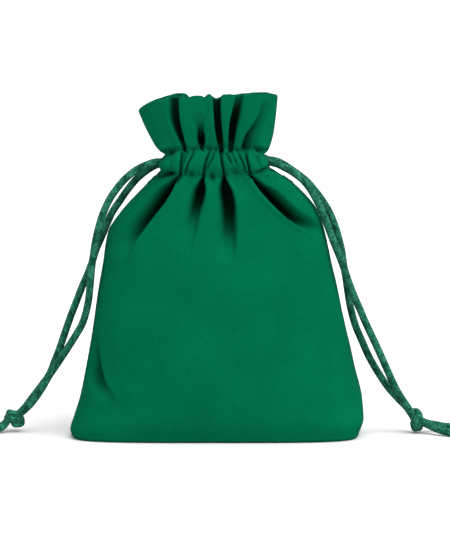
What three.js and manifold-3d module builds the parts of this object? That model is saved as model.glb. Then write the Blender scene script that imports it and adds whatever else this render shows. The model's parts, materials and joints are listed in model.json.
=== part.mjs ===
// A small fabric gift sack: two cloth panels sewn into a pouch, standing at its filled shape, its
// neck drawn in by two drawcords. Each cord loops through the whole casing and comes out as two
// strands on its own side, tied in an overhand knot that lies beside the sack with two tails.
// Millimetres, +Z up, front facing -Y. The origin is under the middle of the sack, on the ground.
import * as THREE from "three";
import { mergeVertices } from "three/addons/utils/BufferGeometryUtils.js";
import Module from "manifold-3d";

const wasm = await Module();
wasm.setup();

// ---- driving dimensions ----
const CLOTH = 0.9; // thickness of the napped cloth
const GAP = 0.3; // clearance kept between neighbouring solids
const HALF_WIDTH = 48.8; // of the filled sack just above its base
const HALF_DEPTH = 20; // of the belly
const NECK_HALF_WIDTH = 18.4;
const NECK_HALF_DEPTH = 10.8;
const MOUTH_HALF_WIDTH = 24; // of the ruffle at the top edge
const MOUTH_HALF_DEPTH = 11.5;
const CASING_LOW = 86; // the two stitch rows that make the cord casing
const CASING_HIGH = 96.6;
const HEIGHT = 114.4;
const SLIT_LOW = 87; // the side seam stops here, and the cord slit starts
const RUFFLE_WAVE = 1.3; // height of the ruffle's soft waves at its top edge
const RUFFLE_REACH = 18; // the waves end this far from the middle
const RUFFLE_WAVES = 2.5; // across the mouth
const CORD_D = 2.8;
const CORD_R = CORD_D / 2;
const CORD_SIDES = 8;
const THREAD_R = 0.28;
const THREAD_SIDES = 6;
const SLIT_OUT = 20.5; // where a drawcord's strands leave the cloth, along X
const KNOT_R = 3.6;
const KNOT_HALF_LONG = 3.7;
const KNOT_AT = { x: 67.4, y: 3, z: KNOT_R + 0.1 };
const LIE_Z = CORD_R + 0.1; // height of a cord's centreline where it lies on the ground

const colour = (hex, roughness) => new THREE.MeshStandardMaterial({ color: hex, roughness, metalness: 0 });
const napped = () => colour(0x04704d, 0.92);
const inside = () => colour(0x04603f, 0.95);
const thread = () => colour(0x0a7a55, 0.7);
const braid = () => colour(0x1d7a57, 0.85);

const sack = new THREE.Group();

function part(name, geometry, material) {
  const mesh = new THREE.Mesh(geometry, material);
  mesh.name = name;
  sack.add(mesh);
  return mesh;
}

// ---- the outer form of the filled sack ----
// Stations from the bottom seam out over the base and up the wall: height, half width, half depth
// and squareness of the section (2 is an ellipse, more is boxier).
const STATIONS = [
  { z: 0, w: 44.5, d: 0.2, n: 2.6 },
  { z: 0, w: 45.6, d: HALF_DEPTH - 11, n: 2.6 },
  { z: 0, w: 46.6, d: HALF_DEPTH - 3.2, n: 2.8 },
  { z: 1.2, w: 48.2, d: HALF_DEPTH - 1, n: 2.8 },
  { z: 4, w: HALF_WIDTH, d: HALF_DEPTH, n: 2.8 },
  { z: 12, w: 46.8, d: HALF_DEPTH + 0.5, n: 2.6 },
  { z: 24, w: 44.4, d: HALF_DEPTH + 0.5, n: 2.4 },
  { z: 38, w: 41.8, d: HALF_DEPTH, n: 2.3 },
  { z: 52, w: 39.4, d: HALF_DEPTH - 1, n: 2.3 },
  { z: 62, w: 37.4, d: HALF_DEPTH - 2.6, n: 2.3 },
  { z: 70, w: 35.2, d: HALF_DEPTH - 4.4, n: 2.4 },
  { z: 76, w: 32, d: HALF_DEPTH - 6.2, n: 2.5 },
  { z: 81, w: 27.6, d: HALF_DEPTH - 7.8, n: 2.8 },
  { z: 84.4, w: 23.4, d: NECK_HALF_DEPTH + 0.3, n: 3.4 },
  { z: SLIT_LOW, w: 20, d: NECK_HALF_DEPTH, n: 5 },
  { z: 89, w: NECK_HALF_WIDTH + 0.3, d: NECK_HALF_DEPTH, n: 8 },
  { z: 92, w: NECK_HALF_WIDTH, d: NECK_HALF_DEPTH, n: 8 },
  { z: 95, w: NECK_HALF_WIDTH, d: NECK_HALF_DEPTH, n: 8 },
  { z: CASING_HIGH, w: NECK_HALF_WIDTH + 0.2, d: NECK_HALF_DEPTH, n: 6 },
  { z: 100, w: 19.6, d: NECK_HALF_DEPTH, n: 4 },
  { z: 107, w: 21.8, d: NECK_HALF_DEPTH + 0.3, n: 3.2 },
  { z: HEIGHT, w: MOUTH_HALF_WIDTH, d: MOUTH_HALF_DEPTH, n: 3 },
];
const SEAM_Y = 0.2; // each panel stops this far from the sack's middle plane
const SLIT_EDGE = 0.94; // share of the neck's half width that the panels cover at the slits
const ACROSS = 22; // faces across a panel
const WALL_FROM = 3; // the first station above the base

// The station between the listed ones at height z, on the wall.
function stationAt(z) {
  const k = STATIONS.findIndex((s, i) => i >= WALL_FROM && s.z >= z);
  const [a, b] = [STATIONS[k - 1], STATIONS[k]];
  const t = (z - a.z) / (b.z - a.z);
  const mix = (p, q) => p + (q - p) * t;
  return { z, w: mix(a.w, b.w), d: mix(a.d, b.d), n: mix(a.n, b.n) };
}

// The ruffle's soft waves, from nothing at the casing to their full height at the top edge. They
// die away towards the sides, where the two panels meet.
function ruffle(x, z) {
  const rise = THREE.MathUtils.clamp((z - CASING_HIGH) / (HEIGHT - CASING_HIGH), 0, 1);
  const fade = Math.max(1 - Math.pow(x / RUFFLE_REACH, 4), 0);
  return RUFFLE_WAVE * rise * fade * Math.cos((x / MOUTH_HALF_WIDTH) * Math.PI * RUFFLE_WAVES);
}

// Depth of a section at x.
function depthAt(s, x) {
  const share = Math.min(Math.abs(x) / s.w, 1);
  return SEAM_Y + (s.d - SEAM_Y) * Math.pow(1 - Math.pow(share, s.n), 1 / s.n);
}

// A row of points across one panel. side is -1 for the front and 1 for the back.
function sectionRow(s, side) {
  const open = s.z > SLIT_LOW && s.z < CASING_HIGH;
  const reach = open ? SLIT_EDGE : 1;
  const row = [];
  for (let i = 0; i <= ACROSS; i++) {
    const angle = (-1 + (2 * i) / ACROSS) * (Math.PI / 2);
    const share = Math.sign(angle) * Math.pow(Math.abs(Math.sin(angle)), 2 / s.n) * reach;
    const x = s.w * share;
    row.push(new THREE.Vector3(x, side * (depthAt(s, x) - ruffle(x, s.z)), s.z));
  }
  return row;
}

// The station moved inwards by a cloth thickness, square to the profile of depth over height.
function inset(k, thickness) {
  const a = STATIONS[Math.max(k - 1, 0)];
  const b = STATIONS[Math.min(k + 1, STATIONS.length - 1)];
  const length = Math.hypot(b.d - a.d, b.z - a.z);
  const level = ((b.z - a.z) / length) * thickness;
  const up = ((b.d - a.d) / length) * thickness;
  const s = STATIONS[k];
  const last = k === STATIONS.length - 1;
  return { z: last ? s.z : s.z + Math.max(up, 0), w: s.w - level, d: Math.max(s.d - level, SEAM_Y), n: s.n };
}

// One closed body from an outer and an inner sheet of points, rows by columns.
function shell(outer, inner) {
  const rows = outer.length;
  const columns = outer[0].length;
  const points = [...outer.flat(), ...inner.flat()];
  const out = (r, c) => r * columns + c;
  const into = (r, c) => rows * columns + r * columns + c;
  const faces = [];
  const quad = (a, b, c, d) => faces.push(a, b, c, a, c, d);
  for (let r = 0; r < rows - 1; r++) {
    for (let c = 0; c < columns - 1; c++) {
      quad(out(r, c), out(r, c + 1), out(r + 1, c + 1), out(r + 1, c));
      quad(into(r, c), into(r + 1, c), into(r + 1, c + 1), into(r, c + 1));
    }
    quad(out(r, 0), out(r + 1, 0), into(r + 1, 0), into(r, 0));
    quad(out(r, columns - 1), into(r, columns - 1), into(r + 1, columns - 1), out(r + 1, columns - 1));
  }
  for (let c = 0; c < columns - 1; c++) {
    quad(out(0, c), into(0, c), into(0, c + 1), out(0, c + 1));
    quad(out(rows - 1, c), out(rows - 1, c + 1), into(rows - 1, c + 1), into(rows - 1, c));
  }
  const geometry = new THREE.BufferGeometry();
  geometry.setFromPoints(points);
  geometry.setIndex(faces);
  return geometry;
}

// Turns a sheet's columns round, so that a sheet made for the front faces out at the back too.
const reversed = (sheet) => sheet.map((row) => [...row].reverse());

function panel(side) {
  const outer = STATIONS.map((s) => sectionRow(s, side));
  const inner = STATIONS.map((s, k) => sectionRow(inset(k, CLOTH), side));
  return side < 0 ? shell(outer, inner) : shell(reversed(outer), reversed(inner));
}

// ---- the turned-in hem, which is the inner wall of the casing ----
const FACING = 0.7; // thickness of the turned-in cloth
const FACING_ACROSS = 12;
const LANE_IN = 5.2; // the right cord's strands run this far from the middle plane
const LANE_OUT = 8.2; // and the left cord's run outside them
const WALL_Y = LANE_IN - CORD_R - GAP; // outer face of the facing beside the cords
const FACING_ROWS = [
  { z: CASING_LOW - 1.6, half: 14, off: 0 },
  { z: CASING_LOW - 0.6, half: 13, off: 0 },
  { z: CASING_LOW + 0.6, half: 9.2, off: 1 },
  { z: 91, half: 9, off: 1 },
  { z: CASING_HIGH - 2, half: 9.2, off: 1 },
  { z: CASING_HIGH - 0.2, half: 13, off: 0.25 },
  { z: 100, half: 15.5, off: 0 },
  { z: 107, half: 18, off: 0 },
  { z: HEIGHT - 0.6, half: 20, off: 0 },
];

function facing(side) {
  const sheet = (depth) =>
    FACING_ROWS.map(({ z, half, off }) => {
      const wall = stationAt(z);
      const row = [];
      for (let i = 0; i <= FACING_ACROSS; i++) {
        const x = half * (-1 + (2 * i) / FACING_ACROSS);
        const snug = depthAt({ ...wall, w: wall.w - CLOTH, d: wall.d - CLOTH }, x) - ruffle(x, z) - 2 * GAP;
        const y = snug + (WALL_Y - snug) * off - depth;
        row.push(new THREE.Vector3(x, side * y, z));
      }
      return row;
    });
  const outer = sheet(0);
  const inner = sheet(FACING);
  return side < 0 ? shell(outer, inner) : shell(reversed(outer), reversed(inner));
}

// ---- seams, stitch rows and bar-tacks ----
const ALLOWANCE = 5; // width of a seam's overlocked edges inside the sack
const SEAM_THICK = 1.2;
const SEAM_OFF = 0.8; // from a panel's inner face to the seam's edges
const SEAM_HEIGHTS = [7, 12, 24, 38, 52, 62, 70, 76, 80];
const BOTTOM_SEAM_HALF = 40;
const STITCH_SHARE = 0.86; // share of the neck's width that a stitch row takes up
const STITCH_POINTS = 14;
const STITCH_STEPS = 28;
const STITCH_OFF = 0.25; // between the thread and the cloth under it
const TACK = { thick: 0.6, across: 4, high: 1.4, below: 1.8 };

// A flat strip beside the wall, inside the sack, from the base corner to the slit.
function sideSeam(side) {
  const edge = (inwards) =>
    SEAM_HEIGHTS.map((z) => {
      const s = stationAt(z);
      return new THREE.Vector2(side * (s.w - CLOTH - SEAM_OFF - inwards), z);
    });
  const outline = new THREE.Shape([...edge(0), ...edge(ALLOWANCE).reverse()]);
  const strip = new THREE.ExtrudeGeometry(outline, { depth: SEAM_THICK, bevelEnabled: false });
  strip.rotateX(Math.PI / 2);
  strip.translate(0, SEAM_THICK / 2, 0);
  return strip;
}

function bottomSeam() {
  const strip = new THREE.BoxGeometry(2 * BOTTOM_SEAM_HALF, SEAM_THICK, ALLOWANCE);
  strip.translate(0, 0, CLOTH + GAP + ALLOWANCE / 2);
  return strip;
}

// A prism of the given section swept along points.
function swept(points, radius, sides, steps) {
  const section = new THREE.Shape();
  for (let i = 0; i < sides; i++) {
    const angle = (i / sides) * 2 * Math.PI;
    const [x, y] = [radius * Math.cos(angle), radius * Math.sin(angle)];
    if (i === 0) section.moveTo(x, y);
    else section.lineTo(x, y);
  }
  section.closePath();
  const path = new THREE.CatmullRomCurve3(points, false, "catmullrom");
  return new THREE.ExtrudeGeometry(section, { steps, extrudePath: path, bevelEnabled: false });
}

// One row of thread lying on the outside of a panel.
function stitchRow(side, z) {
  const s = stationAt(z);
  const points = [];
  for (let i = 0; i <= STITCH_POINTS; i++) {
    const x = NECK_HALF_WIDTH * STITCH_SHARE * (-1 + (2 * i) / STITCH_POINTS);
    points.push(new THREE.Vector3(x, side * (depthAt(s, x) + THREAD_R + STITCH_OFF), z));
  }
  return swept(points, THREAD_R, THREAD_SIDES, STITCH_STEPS);
}

// A few tight stitches across the top end of a side seam, lying along the shoulder's slope, which
// is taken over one millimetre of height.
function barTack(side) {
  const z = SLIT_LOW - TACK.below;
  const s = stationAt(z);
  const slope = Math.atan(stationAt(z - 0.5).w - stationAt(z + 0.5).w);
  const off = TACK.thick / 2 + GAP;
  const tack = new THREE.BoxGeometry(TACK.thick, TACK.across, TACK.high);
  tack.rotateY(-side * slope);
  tack.translate(side * (s.w + off * Math.cos(slope)), 0, z + off * Math.sin(slope));
  return tack;
}

// ---- the drawcords ----
// Each strand's route from the slit to the knot, as seen from the left cord's side: distance out
// from the middle, depth, height. The strands cross once and then lie side by side.
const FRONT_ROUTE = {
  left: [
    [SLIT_OUT, -3.4, 91.9], [23.8, -3.6, 91], [26.8, -3.8, 89.5], [30.2, -4.2, 86.8], [33.2, -4.6, 83.9],
    [37.6, -5, 75.8], [39.2, -5.2, 68.8], [40.6, -5.2, 61], [41.9, -4.8, 53.4], [43.4, -4.2, 43],
    [46, -3.4, 35.9], [50.4, -2.4, 28.6], [53.6, -1.6, 23.8], [56, -0.8, 19.4], [59.6, 0, 14.2],
    [62.6, 0.9, 10.2], [64.9, 1.4, 7],
  ],
  right: [
    [SLIT_OUT, -3.4, 92.6], [24, -3.6, 90.7], [27, -3.8, 88.4], [29.6, -4, 85.7], [33.2, -4.4, 80.6],
    [36.2, -4.8, 74], [39, -5, 66.9], [41.6, -5, 60.5], [44.2, -4.6, 54.8], [47.9, -4, 43.4],
    [52.6, -3, 34.2], [56.2, -2, 25.4], [59.5, -0.8, 17.6], [62.2, 0.6, 12], [64.8, 1.4, 7.1],
  ],
};
const BACK_ROUTE = {
  left: [
    [SLIT_OUT, 3.4, 91.9], [23.8, 3, 88.9], [27.2, 2.6, 85.4], [32.4, 2, 79.8], [36.5, 1.6, 72],
    [39.5, 1.2, 65], [42.2, 0.8, 56.6], [44.3, 0.8, 51.8], [46.6, 0.9, 45.2], [49.4, 1.2, 38.6],
    [52.1, 1.6, 31.4], [54.8, 2.2, 25.4], [57.2, 2.8, 20.8], [60, 3.4, 16.2], [62.8, 4.2, 11.4],
    [65.2, 4.6, 6.9],
  ],
  right: [
    [SLIT_OUT, 3.4, 92.6], [24.4, 3.2, 91.2], [29, 2.8, 88], [33.6, 2.4, 83.2], [37, 2, 79.2],
    [39.4, 1.6, 73.8], [41.8, 1.2, 67.8], [43.6, 1, 60.6], [44.4, 0.9, 54.2], [44.9, 0.9, 47.4],
    [46.3, 1, 39.2], [50, 1.4, 30.4], [54.7, 2, 22.4], [59, 3, 15.2], [62.4, 4.1, 10.8], [65.1, 4.6, 6.9],
  ],
};
const TAIL_ROUTE = {
  left: [
    [[71.2, 1.4, 3.2], [74.6, -0.6, 1.9], [79, -2.6, LIE_Z], [83.6, -3.6, LIE_Z], [88, -4, LIE_Z]],
    [[71.4, 4.9, 3.2], [75, 6.6, 1.9], [79.4, 8.4, LIE_Z], [84, 9.6, LIE_Z], [88.6, 10, LIE_Z]],
  ],
  right: [
    [[71, 0.8, 3.2], [74.2, -1.8, 2], [78.2, -4.6, LIE_Z], [82.4, -6.8, LIE_Z], [86.6, -8, LIE_Z]],
    [[71.4, 5, 3.4], [75, 6.8, 2.6], [79.4, 8, 1.8], [84, 8.8, LIE_Z], [88.6, 9, LIE_Z]],
  ],
};

const LEG_STEPS = 44;
const TAIL_STEPS = 8;

// Where each cord lies in the casing: its distance from the middle plane, and its height at its own
// slit and at the far end.
const CORDS = {
  left: { side: -1, lane: LANE_OUT, high: 91.9, low: 88.7 },
  right: { side: 1, lane: LANE_IN, high: 92.6, low: 88.6 },
};
const MOUTH_Y = 3.4; // distance of the strands from the middle plane at the slit
const THROAT_Y = 4; // and just inside it
// The strands' way in: distance out from the middle, share of the way from the throat to the lane,
// share of the way down from the high end to the low one.
const WAY_IN = [
  { out: 17.4, spread: 0, drop: 0 },
  { out: 14, spread: 0.5, drop: 0 },
  { out: 9.5, spread: 1, drop: 0.1 },
  { out: 4.5, spread: 1, drop: 0.3 },
  { out: -1, spread: 1, drop: 0.65 },
];
const BEND_LEAD = 0.6; // the last point before the bend, as a share of the bend's distance
const BEND_LEAD_DROP = 0.92;
const BEND_POINTS = 6;
const RUN_STEPS = 56;

const at = (side, [out, y, z]) => new THREE.Vector3(side * out, y, z);

function asSolid(geometry) {
  const bare = geometry.clone();
  bare.deleteAttribute("normal");
  bare.deleteAttribute("uv");
  const merged = mergeVertices(bare, 1e-4);
  const vertProperties = Float32Array.from(merged.attributes.position.array);
  const triVerts = Uint32Array.from(merged.index.array);
  return new wasm.Manifold(new wasm.Mesh({ numProp: 3, vertProperties, triVerts }));
}

function asGeometry(solid) {
  const { vertProperties, triVerts } = solid.getMesh();
  const geometry = new THREE.BufferGeometry();
  geometry.setAttribute("position", new THREE.BufferAttribute(new Float32Array(vertProperties), 3));
  geometry.setIndex(new THREE.BufferAttribute(new Uint32Array(triVerts), 1));
  return geometry;
}

// A strand from the slit to the knot, with a round end that turns in the casing's mouth.
function leg(side, route) {
  const points = route.map((p) => at(side, p));
  const tube = swept(points, CORD_R, CORD_SIDES, LEG_STEPS);
  const ball = new THREE.SphereGeometry(CORD_R, 10, 8);
  ball.translate(points[0].x, points[0].y, points[0].z);
  return asGeometry(asSolid(tube).add(asSolid(ball)));
}

// The cord's loop inside the casing: in from its own slit along the front, round a bend at the far
// end, and back. It starts high at its own slit and ends low, under the other cord's strands.
function casingRun({ side, lane, high, low }) {
  const mouth = SLIT_OUT - CORD_R - GAP;
  const bendX = NECK_HALF_WIDTH - lane - CORD_R;
  const level = (drop) => high - (high - low) * drop;
  const depth = (spread) => THROAT_Y + (lane - THROAT_Y) * spread;
  const strand = (way) => [
    [mouth, way * MOUTH_Y, high],
    ...WAY_IN.map(({ out, spread, drop }) => [out, way * depth(spread), level(drop)]),
    [-bendX * BEND_LEAD, way * lane, level(BEND_LEAD_DROP)],
  ];
  const bend = [];
  for (let i = 0; i <= BEND_POINTS; i++) {
    const angle = (i / BEND_POINTS) * Math.PI;
    bend.push([-bendX - lane * Math.sin(angle), -lane * Math.cos(angle), low]);
  }
  const route = [...strand(-1), ...bend, ...strand(1).reverse()];
  return swept(route.map((p) => at(side, p)), CORD_R, CORD_SIDES, RUN_STEPS);
}

// The outer shape of an overhand knot in two cords.
function knot(side) {
  const rows = 10;
  const profile = [];
  for (let i = 0; i <= rows; i++) {
    const angle = -Math.PI / 2 + (i / rows) * Math.PI;
    const radius = Math.max(KNOT_R * Math.cos(angle), 0);
    profile.push(new THREE.Vector2(radius, KNOT_HALF_LONG * Math.sin(angle)));
  }
  const body = new THREE.LatheGeometry(profile, 14);
  body.rotateX(Math.PI / 2);
  body.translate(side * KNOT_AT.x, KNOT_AT.y, KNOT_AT.z);
  return asGeometry(asSolid(body));
}

function tail(side, route) {
  return swept(route.map((p) => at(side, p)), CORD_R, CORD_SIDES, TAIL_STEPS);
}

function drawcord(name, cord) {
  const { side } = cord;
  part(`${name}_cord_casing_run`, casingRun(cord), braid());
  part(`${name}_cord_front_leg`, leg(side, FRONT_ROUTE[name]), braid());
  part(`${name}_cord_back_leg`, leg(side, BACK_ROUTE[name]), braid());
  part(`${name}_cord_knot`, knot(side), braid());
  part(`${name}_cord_front_tail`, tail(side, TAIL_ROUTE[name][0]), braid());
  part(`${name}_cord_back_tail`, tail(side, TAIL_ROUTE[name][1]), braid());
}

// ---- the sack ----
for (const [name, side] of [["front", -1], ["back", 1]]) {
  part(`${name}_panel`, panel(side), napped());
  part(`${name}_hem_facing`, facing(side), inside());
  part(`${name}_casing_lower_stitches`, stitchRow(side, CASING_LOW), thread());
  part(`${name}_casing_upper_stitches`, stitchRow(side, CASING_HIGH), thread());
}
for (const [name, side] of [["left", -1], ["right", 1]]) {
  part(`${name}_side_seam`, sideSeam(side), inside());
  part(`${name}_slit_bartack`, barTack(side), thread());
}
part("bottom_seam", bottomSeam(), inside());
drawcord("left", CORDS.left);
drawcord("right", CORDS.right);

export default sack;
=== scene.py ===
import json
import math
import random

import bpy
import numpy as np
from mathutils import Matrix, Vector


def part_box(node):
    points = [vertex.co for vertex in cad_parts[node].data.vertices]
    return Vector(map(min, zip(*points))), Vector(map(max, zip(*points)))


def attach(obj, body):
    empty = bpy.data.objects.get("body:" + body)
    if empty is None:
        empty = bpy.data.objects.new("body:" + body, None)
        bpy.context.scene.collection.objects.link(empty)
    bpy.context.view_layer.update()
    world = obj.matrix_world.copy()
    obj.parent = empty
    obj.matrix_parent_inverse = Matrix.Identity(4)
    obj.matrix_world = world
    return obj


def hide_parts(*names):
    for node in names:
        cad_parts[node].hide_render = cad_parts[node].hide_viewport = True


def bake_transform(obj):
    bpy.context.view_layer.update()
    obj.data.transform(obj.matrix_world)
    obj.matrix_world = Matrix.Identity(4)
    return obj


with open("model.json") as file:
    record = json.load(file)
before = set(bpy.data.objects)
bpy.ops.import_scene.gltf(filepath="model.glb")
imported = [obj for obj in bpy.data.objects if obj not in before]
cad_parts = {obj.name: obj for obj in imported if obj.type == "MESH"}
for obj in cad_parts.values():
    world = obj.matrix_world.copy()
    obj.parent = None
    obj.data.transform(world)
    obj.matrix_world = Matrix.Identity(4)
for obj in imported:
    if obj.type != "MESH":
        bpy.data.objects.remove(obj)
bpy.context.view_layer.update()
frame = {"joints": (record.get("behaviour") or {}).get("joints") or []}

# A small green drawstring gift sack, standing filled, with its neck drawn in and its two
# drawcords knotted on the floor at both sides. Lengths are in millimetres until a mesh is made.
MM = 0.001
SEED = 7
COLLECTION = bpy.context.scene.collection

# ---- sizes that the frame gives ----
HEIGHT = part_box("front_panel")[1].z / MM
STITCH_LOW = sum(p.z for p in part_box("front_casing_lower_stitches")) / 2 / MM
STITCH_HIGH = sum(p.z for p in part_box("front_casing_upper_stitches")) / 2 / MM
HINGE_HEIGHT = {j["name"]: j["pos_m"][2] / MM for j in frame["joints"] if j["type"] == "hinge"}

# ---- sizes of the visual pieces ----
CORD_D = 2.5
CORD_R = CORD_D / 2
CLOTH = 0.8
SIDES = {"left": -1, "right": 1}


def smoothstep(t):
    t = np.clip(t, 0, 1)
    return t * t * (3 - 2 * t)


def bell(t):
    return np.exp(-t * t)


# ---- camera ----
CAMERA_AWAY = 1.0
CAMERA_RISE = math.radians(6.6)
AIM = Vector((0.003, 0, 0.0555))
FRAME_WIDE = 0.150  # what the picture's width takes in at the sack
SENSOR = 36


def make_camera():
    data = bpy.data.cameras.new("camera")
    data.sensor_fit = "HORIZONTAL"
    data.sensor_width = SENSOR
    data.lens = SENSOR * CAMERA_AWAY / FRAME_WIDE
    data.clip_end = 50
    camera = bpy.data.objects.new("camera", data)
    COLLECTION.objects.link(camera)
    camera.location = AIM + Vector((0, -math.cos(CAMERA_RISE), math.sin(CAMERA_RISE))) * CAMERA_AWAY
    camera.rotation_euler = (math.pi / 2 - CAMERA_RISE, 0, 0)
    bpy.context.scene.camera = camera


make_camera()


# ---- meshes ----
def mesh_object(name, points, faces, uvs=None, painted_shades_and_tones=None):
    """A mesh from points in millimetres. uvs has one pair for each point, painted_shades_and_tones one number
    for each point: yarn tone and painted shade.
    """
    mesh = bpy.data.meshes.new(name)
    mesh.from_pydata([tuple(p) for p in np.asarray(points) * MM], [], faces)
    mesh.update()
    mesh.polygons.foreach_set("use_smooth", [True] * len(mesh.polygons))
    corner = np.zeros(len(mesh.loops), np.int32)
    mesh.loops.foreach_get("vertex_index", corner)
    if uvs is not None:
        layer = mesh.uv_layers.new(name="UVMap")
        layer.data.foreach_set("uv", np.asarray(uvs, np.float32)[corner].ravel())
    if painted_shades_and_tones is not None:
        layer = mesh.attributes.new("tone", "FLOAT", "POINT")
        layer.data.foreach_set("value", np.asarray(painted_shades_and_tones, np.float32))
    piece = bpy.data.objects.new(name, mesh)
    COLLECTION.objects.link(piece)
    return piece


def grid_faces(rows, columns, wrap=False):
    faces = []
    for r in range(rows - 1):
        for c in range(columns if wrap else columns - 1):
            d = (c + 1) % columns
            faces.append((r * columns + c, r * columns + d, (r + 1) * columns + d, (r + 1) * columns + c))
    return faces


def distances(points):
    """How far along the line each of its points is."""
    return np.concatenate([[0], np.cumsum(np.linalg.norm(np.diff(points, axis=0), axis=1))])


def points_at(want, along, points):
    """The points, or directions, at the distances in want. along has the distance of each given one."""
    return np.stack([np.interp(want, along, points[:, k]) for k in range(3)], axis=1)


CURVE_STEPS = 24  # between two given points


def resample(points, step):
    """A smooth curve through the points, with points at even steps along it."""
    p = np.asarray(points, float)
    p = np.vstack([2 * p[0] - p[1], p, 2 * p[-1] - p[-2]])
    fine = []
    for k in range(1, len(p) - 2):
        for t in np.linspace(0, 1, CURVE_STEPS, endpoint=False):
            a = -0.5 * p[k - 1] + 1.5 * p[k] - 1.5 * p[k + 1] + 0.5 * p[k + 2]
            b = p[k - 1] - 2.5 * p[k] + 2 * p[k + 1] - 0.5 * p[k + 2]
            c = -0.5 * p[k - 1] + 0.5 * p[k + 1]
            fine.append(((a * t + b) * t + c) * t + p[k])
    fine = np.array(fine + [p[-2]])
    along = distances(fine)
    count = max(int(round(along[-1] / step)), 4)
    return points_at(np.linspace(0, along[-1], count + 1), along, fine)


def frames_along(path):
    """Two directions square to the path at each of its points, turning as little as they can."""
    tangent = np.gradient(path, axis=0)
    tangent /= np.linalg.norm(tangent, axis=1)[:, None]
    first = np.zeros_like(path)
    start = np.cross(tangent[0], (0.3, 0.9, 0.2))
    first[0] = start / np.linalg.norm(start)
    for k in range(1, len(path)):
        turned = first[k - 1] - tangent[k] * np.dot(first[k - 1], tangent[k])
        first[k] = turned / np.linalg.norm(turned)
    return first, np.cross(tangent, first)


def angles_round(count):
    return np.linspace(0, 2 * math.pi, count, endpoint=False)


def tube(path, theta, radius):
    """Points and faces of a closed tube. radius has a row for each point of the path, and one column
    or one for each angle."""
    first, second = frames_along(path)
    ring = np.cos(theta)[None, :, None] * first[:, None, :] + np.sin(theta)[None, :, None] * second[:, None, :]
    points = (path[:, None, :] + ring * radius[:, :, None]).reshape(-1, 3)
    sides = len(theta)
    faces = [tuple(reversed(f)) for f in grid_faces(len(path), sides, wrap=True)]
    faces += [tuple(range(sides)), tuple(reversed(range(len(points) - sides, len(points))))]
    return points, faces


# ---- braided cord ----
BRAID_YARNS = 6  # yarns that run each way round
BRAID_LAY = 7.2  # millimetres of cord for one turn of a yarn
BRAID_FLOOR, BRAID_RISE = 0.88, 0.15  # radius between the yarns, and what a yarn adds to it
END_ROUND = 0.45  # share of the diameter over which an end rounds off
RING = 36  # points round the cord
CORD_STEP = 0.3


def braid(theta, along):
    """Height of the braid, 0 to 1, and the number of the yarn that lies on top."""
    p = (theta / (2 * math.pi) + along / BRAID_LAY) * BRAID_YARNS
    q = (theta / (2 * math.pi) - along / BRAID_LAY) * BRAID_YARNS
    over = (np.floor(p) + np.floor(q)) % 2 == 0
    across = np.where(over, p, q) % 1
    length = np.where(over, q, p) % 1
    height = np.sqrt(np.clip(1 - (2 * across - 1) ** 2, 0, 1)) * (0.55 + 0.45 * np.sin(math.pi * length))
    yarn = np.where(over, np.floor(p) % BRAID_YARNS, BRAID_YARNS + np.floor(q) % BRAID_YARNS)
    return height, yarn


def cord_mesh(name, path, diameter=CORD_D, shift=0.0):
    """A braided tube along path. shift moves the braid along it."""
    path = np.asarray(path)
    along = distances(path) + shift
    theta = angles_round(RING)
    height, yarn = braid(theta[None, :], along[:, None])
    radius = diameter / 2 * (BRAID_FLOOR + BRAID_RISE * height)
    for end in (0, -1):
        left = np.abs(along - along[end])
        radius *= np.sqrt(np.clip(1 - np.clip(1 - left / (diameter * END_ROUND), 0, 1) ** 2, 0.02, 1))[:, None]
    points, faces = tube(path, theta, radius)
    uvs = np.stack(np.broadcast_arrays(theta[None, :] / (2 * math.pi), along[:, None] / 10), axis=-1)
    rng = np.random.default_rng(SEED)
    tone = rng.uniform(0.25, 0.75, 2 * BRAID_YARNS)[yarn.astype(int)]
    # painted shade: each yarn's own random tone is darkened where the braid is low, in the grooves between
    # yarns
    tone = np.clip(tone * 0.55 + height * 0.45, 0, 1)
    return mesh_object(name, points, faces, uvs.reshape(-1, 2), tone.ravel())


# The strands' routes: distance out from the middle, depth, height. They are the design's routes with their
# points moved to lie where the photo shows the strands.
FRONT_ROUTE = {"left": [
    (20.2, -3.4, 91.8), (23, -3.6, 90.9), (26.1, -3.8, 89.4), (28.7, -4, 87.5), (30.9, -4.2, 85.4),
    (33.4, -4.6, 82.3), (35.5, -4.8, 79), (37.4, -5, 74.8), (38.8, -5.2, 70.4), (39.9, -5.2, 65.6),
    (40.7, -5.1, 60.6), (41.3, -4.9, 56), (41.8, -4.6, 50.6), (42.6, -4.3, 44.5), (44.3, -3.7, 38.4),
    (46.7, -3.1, 34), (50.3, -2.4, 28.3), (53, -1.8, 24.2), (55.8, -0.9, 20), (58, -0.3, 16.2),
    (60.7, 1, 12), (63.6, 2.2, 8.6),
], "right": [
    (20.3, -3.4, 91.2), (22.6, -3.5, 90.1), (25, -3.6, 88.8), (27.4, -3.8, 87.1), (29.5, -4, 85.2),
    (31.5, -4.2, 82.5), (33.3, -4.5, 79.4), (35.3, -4.8, 75.2), (37, -4.9, 70.8), (38.9, -5, 65.7),
    (40.7, -5, 61.4), (42.5, -4.8, 56.6), (44, -4.5, 52.2), (45.7, -4.3, 47.8), (47.6, -4.1, 43.4),
    (50.1, -3.6, 37.6), (52.6, -2.9, 32.3), (55.2, -2.2, 26.6), (57.6, -1.4, 21.2), (60, -0.4, 16),
    (62.3, 0.5, 12), (64.6, 1.2, 8.6),
]}
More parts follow.
